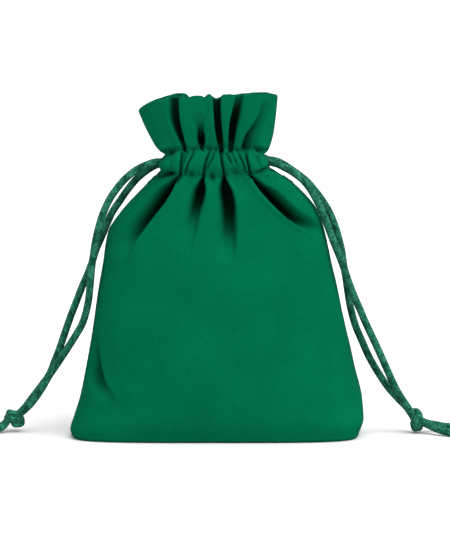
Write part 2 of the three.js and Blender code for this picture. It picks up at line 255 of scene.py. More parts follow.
BACK_ROUTE = {"left": [
    (20.2, 3.3, 90.2), (22.8, 3.1, 88.7), (25.4, 2.8, 86.7), (27.4, 2.5, 84.7), (29.8, 2.2, 81.7),
    (32, 2, 78.5), (34.5, 1.7, 74.8), (36.3, 1.4, 70.9), (38.1, 1.2, 66.6), (40, 1, 62.2),
    (41.2, 0.9, 58.4), (42.7, 0.8, 54.4), (44.7, 0.8, 49.8), (46.8, 1, 44.4), (48.6, 1.1, 39.8),
    (50.3, 1.3, 35), (52, 1.8, 30), (54.2, 2.4, 24.2), (56.1, 2.8, 19.7), (59, 3.3, 15.6),
    (62, 3.9, 11.6), (64.7, 4.4, 8),
], "right": [
    (20.3, 3.4, 91.6), (22.6, 3.3, 90.5), (25.2, 3.2, 88.8), (27.6, 3, 87.1), (30.2, 2.7, 85),
    (32.6, 2.4, 82.3), (35, 2.1, 79.2), (37.3, 1.9, 75.6), (39.2, 1.6, 71.4), (40.7, 1.4, 66.8),
    (41.9, 1.1, 61.9), (42.6, 1, 57), (43.4, 0.9, 52.4), (44.1, 0.9, 47.6), (45, 1, 42.6),
    (46.6, 1.1, 36.8), (48.7, 1.3, 31.8), (51.3, 1.7, 26), (54.4, 2.1, 20.6), (57.6, 2.8, 15.8),
    (61, 3.7, 11.8), (64.2, 4.4, 8.4),
]}
LIE_Z = CORD_R + 0.1
TAIL_ROUTE = {"left": [
    [(71.8, 2.6, 2.2), (74.8, 0.5, 1.5), (79, -1.9, LIE_Z), (83.6, -3.4, LIE_Z), (88, -4, LIE_Z)],
    [(71.8, 4.9, 2.4), (75, 6.6, 1.7), (79.4, 8.4, LIE_Z), (84, 9.6, LIE_Z), (88.6, 10, LIE_Z)],
], "right": [
    [(71.6, 0.6, 2.9), (74.4, -1.8, 1.9), (78.2, -4.6, LIE_Z), (82.4, -6.8, LIE_Z), (86.6, -8, LIE_Z)],
    [(71.8, 4.8, 2.9), (74.6, 6.1, 2.2), (77.6, 7.2, 1.5), (82, 8.4, LIE_Z), (88.6, 9, LIE_Z)],
]}
LANE = {"left": 7.3, "right": 4.7}  # distance of a strand from the middle plane, in the casing
SLIT_Y = 3.5  # the same distance in the slit
RUN_LOW = {"left": 88.7, "right": 88.6}  # height of its turn at the far end
ENTRY_SAG = {"left": (0, 0.9), "right": (0.7, 0.5)}  # how far the front and back strands sag at the slit
NECK_HALF_WIDTH = 18.4
TURN_STEPS = 6


def placed(side, route):
    return np.array([(side * out, y, z) for out, y, z in route])


def toward_lane(name, start, share):
    """Distance of a strand from the middle plane, on its way from the slit to its lane."""
    return start + (LANE[name] - 4) * share


def entry(name, y_sign):
    """The last of the casing's stretch of a strand, up to the slit."""
    high = HINGE_HEIGHT[f"{name}_cord_lift"] - ENTRY_SAG[name][(y_sign + 1) // 2]
    return [(13.6, y_sign * toward_lane(name, 3.7, 0.12), high), (17.2, y_sign * SLIT_Y, high)]


def strand(name, side, y_sign, route, tail):
    """One strand from inside the slit to the end of its tail, through the knot."""
    x, y, z = knot_centre(name)
    through = [(abs(x) - 0.6, y + y_sign * 1.1, z + 0.5), (abs(x) + 1.4, y + y_sign * 1.1, z - 0.1)]
    return resample(placed(side, entry(name, y_sign) + route + through + tail), CORD_STEP)


# How far the knot as tied stands from the middle of the design's plain one.
KNOT_SET = {"left": (-0.9, 2.6, 0.9), "right": (0.2, 0, 0.3)}


def knot_centre(name):
    low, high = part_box(f"{name}_cord_knot")
    return tuple((low + high) / 2 / MM + Vector(KNOT_SET[name]))


def casing_run(name, side):
    """The cord's loop inside the casing."""
    lane, low = LANE[name], RUN_LOW[name]
    high = HINGE_HEIGHT[f"{name}_cord_lift"]
    fall = high - low
    bend_x = NECK_HALF_WIDTH - lane - CORD_R

    def stretch(y):
        return [
            (17.6, math.copysign(SLIT_Y, y), high),
            (14, math.copysign(toward_lane(name, 3.7, 0.12), y), high),
            (9.8, math.copysign(toward_lane(name, 3.9, 0.75), y), high - fall * 0.1),
            (4.5, y, high - fall * 0.3), (-1, y, high - fall * 0.65), (-bend_x * 0.6, y, low + fall * 0.08),
        ]

    bend = []
    for k in range(TURN_STEPS + 1):
        angle = k / TURN_STEPS * math.pi
        bend.append((-bend_x - lane * math.sin(angle), -lane * math.cos(angle), low))
    return resample(placed(side, stretch(-lane) + bend + stretch(lane)[::-1]), CORD_STEP)


KNOT_AXIS = {"left": Vector((-0.36, -0.1, -0.93)), "right": Vector((0.97, -0.1, 0.18))}
KNOT_WRAP_R = {"left": 1.9, "right": 2.2}
KNOT_LONG = {"left": 3.5, "right": 2.7}
KNOT_TURNS = 2.15
CROSSING_D = CORD_D * 0.92


def knot_route(name, steps, long, angle_at, reach_at):
    """A cord's middle line, wound round the knot's axis. t goes from 0 to 1 along it."""
    axis = KNOT_AXIS[name].normalized()
    across = axis.cross(Vector((0, 1, 0.2))).normalized()
    third = axis.cross(across)
    centre = Vector(knot_centre(name))
    route = []
    for k in range(steps + 1):
        t = k / steps
        way = math.cos(angle_at(t)) * across + math.sin(angle_at(t)) * third
        route.append(tuple(centre + axis * (t - 0.5) * long + way * reach_at(t)))
    return resample(route, CORD_STEP)


def knot_mesh(name):
    """An overhand knot: the cord wraps twice round the strands, then crosses over its own wraps."""
    wrap_r, long = KNOT_WRAP_R[name], KNOT_LONG[name]
    wrap = knot_route(name, 39, long, lambda t: KNOT_TURNS * 2 * math.pi * t + 0.8,
                      lambda t: wrap_r * (0.35 + 0.65 * float(smoothstep(min(t, 1 - t) * 9))))
    crossing = knot_route(name, 13, long + 0.6, lambda t: -1.3 + 2.0 * t,
                          lambda t: (wrap_r + 0.75) * float(smoothstep(min(t, 1 - t) * 3.2)) + 0.4)
    return join(f"{name}_overhand_knot", [cord_mesh(f"{name}_knot_wrap", wrap),
                                          cord_mesh(f"{name}_knot_cross", crossing, CROSSING_D)])


def join(name, pieces):
    with bpy.context.temp_override(active_object=pieces[0], selected_editable_objects=pieces):
        bpy.ops.object.join()
    pieces[0].name = name
    pieces[0].data.name = name
    return pieces[0]


CORD_PIECES = []
CASING_CORD_D = CORD_D * 0.97  # the strands overlap its ends


def make_drawcord(name, side):
    knot = knot_mesh(name)
    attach(knot, f"{name}_cord_ends")
    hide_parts(f"{name}_cord_knot")
    loop = cord_mesh(f"{name}_drawcord_in_casing", casing_run(name, side), CASING_CORD_D)
    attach(loop, f"{name}_cord_loop")
    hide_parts(f"{name}_cord_casing_run")
    CORD_PIECES.extend([knot, loop])
    for depth, y_sign, route, tail in (
        ("front", -1, FRONT_ROUTE[name], TAIL_ROUTE[name][0]),
        ("back", 1, BACK_ROUTE[name], TAIL_ROUTE[name][1]),
    ):
        path = strand(name, side, y_sign, route, tail)
        piece = cord_mesh(f"{name}_{depth}_strand", path, shift=1.7 * y_sign)
        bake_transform(piece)
        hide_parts(f"{name}_cord_{depth}_leg", f"{name}_cord_{depth}_tail")
        CORD_PIECES.append(piece)


for cord_name, cord_side in SIDES.items():
    make_drawcord(cord_name, cord_side)


# ---- the sack's outer form ----
def curve_through(table):
    """A smooth curve that never swings past the points it goes through."""
    x, y = np.array(table, float).T
    slope = np.diff(y) / np.diff(x)
    tangent = np.zeros(len(x))
    for k in range(1, len(x) - 1):
        a, b = slope[k - 1], slope[k]
        tangent[k] = 0 if a * b <= 0 else 2 * a * b / (a + b)
    tangent[0], tangent[-1] = slope[0], slope[-1]

    def at(v):
        v = np.clip(v, x[0], x[-1])
        k = np.clip(np.searchsorted(x, v, side="right") - 1, 0, len(x) - 2)
        h = x[k + 1] - x[k]
        t = (v - x[k]) / h
        return (
            y[k] * (1 + 2 * t) * (1 - t) ** 2 + h * tangent[k] * t * (1 - t) ** 2
            + y[k + 1] * t * t * (3 - 2 * t) + h * tangent[k + 1] * t * t * (t - 1)
        )

    return at


# Half widths by height, measured out from the middle on each side, then half depth and squareness.
left_edge = curve_through([
    (0, 47), (2.5, 48.7), (6.3, 47.6), (13.6, 45.5), (23, 43.6), (33, 41.8), (49, 39.3), (58, 37.7),
    (64.5, 36.8), (68.9, 35.8), (70.6, 34.9), (74.3, 32.2), (77.3, 29.7), (80.2, 27), (83.3, 24), (86, 21.2),
    (87.6, 19.5), (88.6, 18.6), (89.4, 18.4), (90.5, 19), (91.6, 19), (92.7, 17.9), (93.7, 17.3), (95.2, 18.3),
    (97, 19.9), (100, 21.4), (106.4, 23.7), (HEIGHT, 25.7),
])
right_edge = curve_through([
    (0, 47), (2.5, 48.2), (6.3, 49.3), (10.3, 49.2), (23, 46.3), (31, 44.6), (38.4, 42.7), (52, 39.6),
    (57, 38.5), (64, 37.3), (68.9, 36.2), (72.1, 35.3), (76.6, 33.2), (78.7, 31.5), (82.2, 28.3),
    (85.4, 24.7), (87, 22.4), (88.4, 20), (89.6, 17.9), (90.6, 17.6), (91.6, 17.4), (92.7, 16.9),
    (93.8, 16.7), (95.4, 17.2), (97.6, 18.1), (102, 19.2), (108.6, 20), (HEIGHT, 20.5),
])
half_depth = curve_through([
    (0, 17), (2, 18.2), (8, 19.6), (20, 20.4), (35, 20.1), (50, 19), (60, 17.6), (68, 15.9), (74, 14.3),
    (79, 12.9), (84, 11.6), (87.5, 10.5), (89.3, 11.2), (91.4, 11.7), (93.4, 11.4), (95.2, 10.5), (96.8, 9.3),
    (99, 9.6), (104, 10.5), (110, 11.2), (HEIGHT, 11.5),
])
squareness = curve_through([
    (0, 4.2), (4, 3.7), (12, 2.8), (30, 2.35), (55, 2.3), (70, 2.4), (80, 2.8), (86, 3.6), (90, 6), (95, 6),
    (99, 4), (106, 3.2), (HEIGHT, 3),
])
SIDE_EDGE = {-1: left_edge, 1: right_edge}

# Height of the top edge across the ruffle, from left to right as the camera sees it.
TOP_EDGE = {
    "front": curve_through([
        (-25.7, 108.4), (-22, 110.7), (-18, 112.3), (-15.2, 113), (-14, 112.8), (-11, 112.8), (-9.4, 112.5),
        (-8, 113.3), (-6, 113.5), (-4.6, 113.4), (-3.8, 113), (-2.8, 113.9), (-1.9, 113.5), (-1, 112.6),
        (0.2, 112.1), (1.5, 112.6), (2.8, 113.7), (4.6, 114), (6, 113.7), (8, 114), (9.7, 114.2), (13, 113.9),
        (17, 113.8), (20.4, 113.3),
    ]),
    "back": curve_through([
        (-25.7, 108.4), (-22, 110.4), (-18, 111.9), (-15, 112.8), (-11.5, 113.2), (-9.9, 113), (-9.1, 111.9),
        (-5, 111.3), (0, 110.4), (4, 111.2), (8.4, 111.9), (9.3, 113), (14, 113.5), (18, 113.5), (20.4, 113.2),
    ]),
}


# ---- folds ----
# Each fold is a valley in the cloth. run is where it goes, as (height, place across) pairs, or the
# other way round if it is level; deep is how deep it is there; core is half its floor, and left and
# right are the widths of its two flanks. A soft flank rises like an easy slope, a steep one like a
# wall, with a lip that stands proud beside it and is tucked over the valley. wide scales its widths.
EVEN = ((0, 1), (200, 1))


def fold(run, deep, left, right, core=0.0, soft="", level=False, lip=0.0, tuck=0.0, wide=EVEN):
    ends = [place for place, _ in deep]
    return dict(run=curve_through(run), deep=curve_through(deep), reach=(min(ends), max(ends)), left=left,
                right=right, core=core, soft=soft, level=level, lip=lip, tuck=tuck, wide=curve_through(wide))


RUFFLE_FOLDS = [
    fold([(95.5, -10), (97.2, -10.3), (100.5, -11.4), (104.5, -12.7), (108.5, -13.5), (114.4, -13.9)],
         [(95.2, 0), (97.1, 7), (102, 8.8), (114.4, 9.2)], 1.0, 0.7, core=1.3, lip=0.3, tuck=0.6,
         wide=[(96, 0.5), (100, 0.75), (106, 1.05), (114, 1.15)]),
    fold([(96, -4.6), (102, -4.8), (107, -5.6)],
         [(95.8, 0), (97.6, 7.6), (100, 7.4), (102, 4.6), (104, 2.2), (106.5, 0.7), (109, 0)], 1.5, 1.1,
         core=0.6, tuck=0.3, wide=[(97, 0.5), (98.6, 0.9), (101, 1), (103, 0.9), (107, 1.5)]),
    fold([(94.5, 1.8), (96.8, 1.6), (100, 1.2), (105, 0.7), (114.4, 0.2)],
         [(94.8, 0), (96.9, 7.8), (102, 8.9), (114.4, 9.6)], 0.7, 0.7, core=1.0, lip=0.3, tuck=0.5,
         wide=[(96, 0.7), (102, 0.95), (114, 1.1)]),
    fold([(95.5, 4.8), (98, 5.0), (104, 5.6), (109, 6.6), (114.4, 7.6)],
         [(95, 0), (97, 7.4), (101, 8.6), (104.5, 8.2), (107.5, 6.8), (110, 5.2), (112, 3.4), (114.4, 1.8)],
         0.8, 1.1, core=0.8, lip=0.3, tuck=0.4, wide=[(96, 0.6), (101, 0.9), (108, 1.2), (114, 1.1)]),
    fold([(95.5, 8.3), (98, 8.9), (101, 9.9), (104.5, 12.2), (109, 14.8), (113, 15.8)],
         [(95, 0), (97.5, 4), (101, 4), (106, 2.8), (110, 1.3), (113, 0)], 0.6, 5.6, core=0.2,
         soft="right", lip=0.6, tuck=0.4),
    fold([(95, -20), (97, -21), (104, -22.4), (112, -23.5)], [(95, 0), (100, 0.5), (112, 0.2)], 2.5, 2.5),
]
CASING_FOLDS = [fold(run, deep, left, right, lip=lip) for run, deep, left, right, lip in (
    ([(85, -12.2), (89, -11.8), (93, -11.5), (97, -10.6)], [(84.6, 0), (86.8, 2.5), (94, 2.25), (97.5, 0)],
     0.55, 1.0, 0.3),
    ([(88, -10.2), (91, -9.5), (95.5, -7.1)], [(87.4, 0), (90, 1.62), (94.5, 1.62), (96.8, 0)],
     0.6, 0.55, 0.25),
    ([(90.5, -11.2), (95.6, -9.4)], [(90, 0), (93, 1.12), (96.4, 0)], 0.5, 0.45, 0.2),
    ([(84, -4.3), (89, -3.9), (92, -3.4), (96, -1.9)], [(84, 0), (86.6, 2.38), (95, 2.25), (97.2, 0)],
     0.8, 0.6, 0.3),
    ([(89.6, -3.1), (91.6, -2.4), (93.5, -1.3), (96.5, -0.3)], [(89, 0), (92, 1.5), (96, 1.5), (97.6, 0)],
     0.45, 0.55, 0.25),
    ([(85, 3.1), (89, 2.6), (92, 2), (96, 1.4)], [(84.5, 0), (87, 2.5), (95, 2.25), (97.4, 0)],
     0.6, 0.7, 0.3),
    ([(91.5, 5.2), (93.6, 4.3), (95.8, 2.9)], [(91, 0), (93.5, 1.62), (96.6, 0)], 0.5, 0.55, 0.25),
    ([(91, 7.2), (95.5, 5.2)], [(90.6, 0), (93, 1.12), (96.4, 0)], 0.45, 0.5, 0.2),
    ([(88.4, 9.8), (91.5, 9.1), (96, 6.8)], [(88, 0), (91, 1.62), (95.5, 1.62), (97, 0)], 0.5, 0.6, 0.25),
    ([(85, 12.3), (89, 11.1), (92.5, 10.3), (96.5, 9.2)], [(84.5, 0), (87.6, 2.5), (95, 2.25), (97.5, 0)],
     0.5, 0.9, 0.3),
    ([(88, -15.6), (93, -14.9), (97, -15.4)], [(88, 0), (92, 0.5), (95, 0.75), (97, 0)], 0.9, 0.9, 0),
    ([(89, 15), (92, 14.2), (97, 13.4)], [(89, 0), (92, 0.5), (95, 0.75), (97, 0)], 0.8, 0.8, 0),
    # dimples on the lower stitch row
    ([(85, -8.1), (91, -8.1)], [(86.8, 0), (88.3, 1.1), (89.8, 0)], 1.3, 1.3, 0),
    ([(85, -1.1), (91, -1.1)], [(86.0, 0), (87.5, 1.3), (89.2, 0)], 1.2, 1.2, 0),
    ([(85, 6.2), (92, 6.2)], [(88, 0), (89.3, 0.9), (90.8, 0)], 2.2, 1.8, 0),
)]
CASING_END_HOLLOWS = [fold(run, deep, left, right, level=True) for run, deep, left, right in (
    ([(-21, 87), (-19, 87.6), (-16, 88.6), (-12, 88.8)], [(-21.5, 0.5), (-19, 2.8), (-16, 3.8), (-12.5, 0)],
     1.5, 1.1),
    ([(12, 88.7), (14.5, 89.3), (17, 90.1), (20, 90.4)], [(12, 0), (14, 1.8), (17, 3.2), (21, 2)], 1.0, 0.6),
    ([(-19, 94), (-16, 94.9), (-12, 96)], [(-20, 2.6), (-16.5, 3.2), (-12, 0)], 0.8, 2.4),
    ([(12, 96.5), (15.5, 95.4), (19, 94.4)], [(12, 0), (15.5, 2.6), (19, 2.6)], 0.8, 2),
)]
NARROW_HEAD = [(70, 1.2), (75, 1.05), (79, 1), (83, 0.85), (85.5, 0.5), (88, 0.25)]
FLARED_FOOT = [(69, 1.9), (72, 1.4), (76, 1.05), (79, 1), (83, 0.85), (85.5, 0.5), (88, 0.25)]
SHOULDER_FOLDS = [
    fold([(54, -35.5), (58, -33), (64, -29.4), (69.5, -25.7), (74.6, -21.6), (79, -18), (83.3, -15),
          (86.3, -12.9), (88, -12.1)],
         [(60, 0), (64, 1.6), (68, 4.2), (72, 6.6), (76, 8.4), (80, 9), (83, 8.2), (86, 5), (88, 1)], 5.2, 1.0,
         core=1.0, soft="left", lip=0.4, tuck=0.8, wide=NARROW_HEAD),
    fold([(64, -10.2), (70, -8.5), (76, -6.8), (81, -5.2), (84, -4.6), (87.5, -4.2)],
         [(63, 0), (68, 0.9), (72, 2.4), (76, 4.4), (79.5, 6.8), (82.5, 9), (85, 6.8), (87.4, 0.6)], 3.4, 1.5,
         core=0.85, soft="left", lip=0.2, tuck=0.3, wide=NARROW_HEAD),
    fold([(58, 3.6), (66.4, 4.2), (72, 4.5), (77, 4.6), (82, 4), (85, 3.3), (88, 2.7)],
         [(60, 0), (64, 1.4), (67.5, 3), (70.5, 4.4), (74, 6), (78, 8.2), (82.5, 9.4), (85.4, 7), (88, 0.8)],
         3.6, 1.6, core=1.0, soft="left", lip=0.2, tuck=0.3, wide=NARROW_HEAD),
    fold([(54, 44), (60, 41.5), (66, 38), (69.8, 32.6), (71.6, 28.7), (74.4, 24.3), (77.7, 20.5), (82, 16.2),
          (86.3, 12.2), (88, 11.2)],
         [(66, 0), (69, 1.6), (71.4, 3.8), (74, 6.2), (78, 8.4), (82, 8.8), (85.6, 5.6), (88, 1)], 1.0, 5.4,
         core=0.8, soft="right", lip=0.4, tuck=0.8, wide=FLARED_FOOT),
    fold([(14, -36.4), (17, -37.9), (19.5, -39.5), (24.5, -41.2), (29.4, -42), (34.5, -42.6), (40, -43)],
         [(12.6, 0), (16.2, 1.4), (19.5, 3.4), (25, 4.8), (30, 4.6), (35, 2.6), (41, 0)], 3.8, 2.5, core=1.1,
         soft="left", lip=0.12),
]
FRONT_FOLDS = RUFFLE_FOLDS + CASING_FOLDS + CASING_END_HOLLOWS + SHOULDER_FOLDS


def back_folds():
    """The back's own folds. Nothing shows them, so they are of the same kind in other places."""
    rng = random.Random(SEED + 20)
    folds = []
    for place, slant, deep in ((-15.5, -0.24, 4.6), (-10.2, -0.1, 6), (-4.4, -0.05, 6.6), (2.2, 0.02, 5.2),
                               (7.9, 0.12, 6.4), (12.6, 0.2, 4.2)):
        top = place + slant * 18
        folds.append(fold([(95.5, place), (104, place + slant * 6), (114.4, top)],
                          [(95.2, 0), (97.4, deep * 0.9), (105, deep), (114.4, deep * rng.uniform(0.35, 0.8))],
                          rng.uniform(0.8, 1.6), rng.uniform(0.8, 1.6), core=0.35, lip=0.35))
    for k in range(11):
        place = -14.5 + 2.9 * k + rng.uniform(-0.5, 0.5)
        lean = -0.04 * place + rng.uniform(-0.5, 0.5)
        deep = rng.uniform(0.8, 1.4)
        folds.append(fold([(85, place - lean * 2), (91, place), (97, place + lean * 2)],
                          [(rng.uniform(84, 88), 0), (90, deep), (95.2, deep * 0.9), (97.4, 0)],
                          rng.uniform(0.4, 0.6), rng.uniform(0.5, 0.8)))
    for foot, head, deep, left, right, soft in (
        (-31, -13.2, 5.0, 7.0, 1.0, "left"), (-17, -8.6, 4.4, 3.0, 1.3, "left"),
        (-2.6, -2.2, 5.6, 2.4, 1.6, "left"), (9, 5.4, 4.6, 1.3, 3.2, "right"),
        (31, 12.2, 5.2, 1.0, 7.4, "right"),
    ):
        lean = head - foot
        folds.append(fold(
            [(60, foot), (70, foot + lean * 0.3), (80, foot + lean * 0.72), (88, head)],
            [(57, 0), (66, deep * 0.35), (76, deep * 0.8), (82, deep), (86, deep * 0.7), (88, 0.8)],
            left, right, core=0.3, soft=soft, lip=0.25))
    for end in (-1, 1):
        for run, deep, left, right in (
            ([(21, 87.6), (17, 88.4), (12.5, 88.7)], [(21.5, 1.5), (17, 2.8), (12.5, 0)], 1.2, 0.8),
            ([(20, 94.8), (16, 95.3), (12, 96.2)], [(20, 2), (16, 2.2), (12, 0)], 0.9, 1.6),
        ):
            run, deep = (sorted((end * x, v) for x, v in table) for table in (run, deep))
            folds.append(fold(run, deep, left, right, level=True))
    return folds


LIP_AWAY, LIP_HALF = 0.8, 0.9  # where the lip stands beyond its flank, and its half width
TUCK_OUT = 1.4  # how far out the cloth is drawn over the valley
FULL_DEPTH = 3  # a valley this deep has its lip in full


def fold_depth(f, x, z, widen=0.0):
    """How far the cloth is pushed in at x, z, and how far its lip is moved across.

    widen is for a layer that lies inside the outer one."""
    along, across = (x, z) if f["level"] else (z, x)
    centre = f["run"](along)
    low, high = f["reach"]
    deep = f["deep"](along) * ((along >= low) & (along <= high))
    scale = f["wide"](along)
    away = across - centre
    core = f["core"] * scale + widen
    share, lip, shift = np.zeros_like(away), np.zeros_like(away), np.zeros_like(away)
    for flank, way in (("left", -1), ("right", 1)):
        width = f[flank] * scale
        t = np.clip((way * away - core) / width, 0, 1)
        here = way * away > 0
        if f["soft"] == flank:
            rise = (1 - t) ** 2 * (1 + 0.7 * t)
        else:
            rise = 0.5 + 0.5 * np.cos(math.pi * t)
            past = way * away - core - width
            lip += np.where(here, bell((past - LIP_AWAY) / LIP_HALF), 0)
            if not widen:
                spread = np.where(past < 0, width * 0.6, TUCK_OUT)
                shift -= np.where(here, way * f["tuck"] * bell(past / spread), 0)
        share += np.where(here, rise, 0)
    share = np.where(away == 0, 1, share)
    full = np.minimum(deep / FULL_DEPTH, 1)
    return deep * share - f["lip"] * lip * full, shift * full


FINE_GATHERS = 40


def gathers(s, z, seed):
    """Many fine short wrinkles round the neck, where the cloth is bunched on the cords."""
    rng = random.Random(seed)
    depth = np.zeros_like(s)
    for k in range(FINE_GATHERS):
        place = -23 + 46 * (k + rng.uniform(-0.35, 0.35)) / FINE_GATHERS
        slant = rng.uniform(-0.12, 0.12) + place * 0.012
        reach = rng.uniform(1.6, 4.5)
        middle = rng.choice([88.2, 95.8, 94.6])
        height = rng.uniform(0.15, 0.5)
        t = np.abs(s - place - slant * (z - middle)) / rng.uniform(0.35, 0.7)
        depth += height * np.exp(-(t ** 1.6)) * bell((z - middle) / reach)
    return depth


# Heights of the two rows of stitches across the front, which the bunching has moved about.
LOW_ROW = curve_through([
    (-22, 87), (-18.5, 88), (-16, 88.5), (-12, 88.5), (-8.1, 88.4), (-4.5, 87.8), (-1.1, 87.5), (2.6, 87.8),
    (6.2, 88.9), (9, 88.8), (12.4, 88.7), (15, 89), (17.6, 89.9), (21, 90),
])
HIGH_ROW = curve_through([
    (-21, 94), (-17, 94.4), (-13, 96), (-10.4, 96.8), (-7.4, 96.1), (-4.7, 97.3), (-2, 96.5), (1.4, 96.3),
    (3.1, 97), (4.9, 96.9), (7, 96.3), (8.8, 96.6), (12, 96.6), (16.5, 94.6), (20, 94),
])


def stitch_pinch(x, z):
    """The two rows of stitches pull the cloth in, each with its own depth and half width."""
    pulls = ((LOW_ROW, 0.45, 0.9), (HIGH_ROW, 0.9, 0.7))
    return sum(deep * bell((z - row(x)) / half) for row, deep, half in pulls)


SWELL_TOP = 84  # the waves fade out below the gathers and above the base
SWELL_FADE_LOW, SWELL_FADE_HIGH = 12, 10


def swell(x, z, seed):
    """Slow, shallow waves in the filled cloth."""
    rng = random.Random(seed)
    wave = np.zeros_like(x)
    for _ in range(7):
        a, b = rng.uniform(-0.2, 0.2), rng.uniform(-0.16, 0.16)
        wave += rng.uniform(0.05, 0.14) * np.sin(a * x + b * z + rng.uniform(0, 6.3))
    return wave * smoothstep(z / SWELL_FADE_LOW) * smoothstep((SWELL_TOP - z) / SWELL_FADE_HIGH)


COLUMNS = 260
OUTLINE_POINTS = 1441  # of the fine outline that rows are measured on
SEAM_GAP = 0.12  # distance of a panel's edge from the middle plane, at the seams
SLIT_LOW, SLIT_HIGH = 87.2, 96.2
SLIT_HALF = 5.1  # how far the slit's edge stands off the middle plane
BASE_ROWS = 12
CORNER_ROWS = 7
CORNER_R = 1.7
BASE_NARROWS = 0.5  # by how much the base is narrower at the bottom seam
WALL_STEP = 0.6
HEM_THICK = 1.6  # from the outer face of the ruffle to the face of its turned-down hem
HEM_ROLL_STEPS = 6
FACING_Y = 2.6  # how far the inner wall of the casing stands off the middle plane
FACING_EDGE_Y = 0.3  # the same at its sides


def slit_edge(z):
    """Distance of the panel's side edge from the middle plane."""
    middle, half = (SLIT_LOW + SLIT_HIGH) / 2, (SLIT_HIGH - SLIT_LOW) / 2
    t = abs(z - middle) / half
    return SEAM_GAP + (SLIT_HALF - SEAM_GAP) * math.sqrt(max(1 - t ** 3, 0))


def section(wl, wr, d, n, gap):
    """One row of the cloth: points evenly spaced round one half of the sack's section."""
    angle = np.linspace(-math.pi / 2, math.pi / 2, OUTLINE_POINTS)
    share_x = np.sign(angle) * np.abs(np.sin(angle)) ** (2 / n)
    share_y = np.abs(np.cos(angle)) ** (2 / n)
    x = np.where(share_x < 0, share_x * wl, share_x * wr)
    y = SEAM_GAP + (d - SEAM_GAP) * share_y
    along = np.concatenate([[0], np.cumsum(np.hypot(np.diff(x), np.diff(y)))])
    kept = np.flatnonzero(y >= gap)
    want = np.linspace(along[kept[0]], along[kept[-1]], COLUMNS + 1)
    s = want - np.interp(0, x, along)
    return np.interp(want, along, x), np.interp(want, along, y), s


ON_WALL = 2.0  # how far a row is: 0 at the bottom seam, 1 at the corner of the base, 2 on the wall


def panel_rows():
    """Rows from the bottom seam over the base and up the wall: height, and how far the row is."""
    rows = [(0.0, k / BASE_ROWS) for k in range(BASE_ROWS)]
    rows += [(CORNER_R * (1 - math.cos(a)), 1 + math.sin(a)) for a in np.linspace(0, math.pi / 2, CORNER_ROWS)]
    count = int(round((HEIGHT - CORNER_R) / WALL_STEP))
    rows += [(CORNER_R + (HEIGHT - CORNER_R) * k / count, ON_WALL) for k in range(1, count + 1)]
    return rows


def row_sizes(z, base):
    """Half widths to the left and right and half depth of one row of the cloth."""
    if base >= ON_WALL:
        return float(left_edge(z)), float(right_edge(z)), float(half_depth(z))
    shrink = CORNER_R * (1 - min(max(base - 1, 0), 1))
    reach = min(base, 1)
    wl, wr = (float(edge(CORNER_R)) - shrink - BASE_NARROWS * (1 - reach) for edge in (left_edge, right_edge))
    return wl, wr, (float(half_depth(CORNER_R)) - shrink) * reach + SEAM_GAP * (1 - reach)


INSET_NARROWS, INSET_WIDENS = 0.8, 0.75  # shares of the inset by which the layer narrows and folds widen
SIDE_FADE, LEVEL_SIDE_FADE = 3.0, 0.4  # folds fade in over this distance from the side
CLOTH_CLEAR, INSET_CLEAR = 1.6, 0.7  # how near folds come to the middle plane


def pushed_in(x, y, s, z, side, side_away, folds, seed, inset):
    """How far each point of a row of the wall is pushed in, and how far it is moved across."""
    look_x = x if side < 0 else -x
    zz = np.full_like(x, z)
    inward, across = np.zeros_like(x), np.zeros_like(x)
    for f in folds:
        pushed, moved = fold_depth(f, look_x, zz, inset * INSET_WIDENS)
        fade = smoothstep(side_away / (LEVEL_SIDE_FADE if f["level"] else SIDE_FADE))
        inward += pushed * fade
        across += moved * fade * -side
    if not inset:
        inward += gathers(s, zz, seed) * smoothstep(side_away)
        inward += stitch_pinch(look_x, zz)
        inward += swell(look_x, zz, seed)
    return np.minimum(inward, np.maximum(y - (INSET_CLEAR if inset else CLOTH_CLEAR), 0)), across


SEAM_GROOVE, SEAM_GROOVE_HALF = 0.75, 0.9  # depth and half width
PUCKER, PUCKER_LONG = 0.35, 2.3  # how much the groove varies, and over what length
SHADE_FROM, SHADE_OVER = 1.2, 5  # painted shade darkens a fold's colour from this depth on, over this much more
# strength of the painted shade on the ruffle's folds, the body's folds and the hem's inner face
RUFFLE_SHADE, BODY_SHADE, HEM_SHADE = 0.9, 0.95, 0.25


def cloth_row(z, base, side, folds, seed, inset=0.0):
    """One row of a panel's outer face, or of a layer that lies inset behind it."""
    wl, wr, d = row_sizes(z, base)
    narrow = inset * INSET_NARROWS
    x, y, s = section(wl - narrow, wr - narrow, max(d - inset, SEAM_GAP), float(squareness(z)),
                      slit_edge(z) if base >= ON_WALL else 0)
    normal_x, normal_y = -np.gradient(y), np.gradient(x)
    size = np.hypot(normal_x, normal_y) + 1e-9
    normal_x, normal_y = normal_x / size, normal_y / size
    inward, across = np.zeros_like(x), np.zeros_like(x)
    if base >= ON_WALL:
        side_away = np.where(x < 0, wl + x, wr - x)
        inward, across = pushed_in(x, y, s, z, side, side_away, folds, seed, inset)
    if base < ON_WALL or not SLIT_LOW < z < SLIT_HIGH:
        seam_away = np.minimum(s - s[0], s[-1] - s)
        pucker = 1 + PUCKER * math.sin(z / PUCKER_LONG * 2 * math.pi)
        inward += SEAM_GROOVE * bell(seam_away / SEAM_GROOVE_HALF) * pucker
    top = TOP_EDGE["front" if side < 0 else "back"](x) - STITCH_HIGH
    lift = max(z - STITCH_HIGH, 0) * (top / (HEIGHT - STITCH_HIGH) - 1)
    px = x + across - normal_x * inward
    py = np.maximum(y - normal_y * inward, SEAM_GAP * 0.6)
    # painted shade: the deeper the cloth is pushed in, the darker its colour
    tone = smoothstep((inward - SHADE_FROM) / SHADE_OVER) * (RUFFLE_SHADE if z > STITCH_HIGH else BODY_SHADE)
    return np.stack([px, side * py, z + lift], axis=1), s, tone


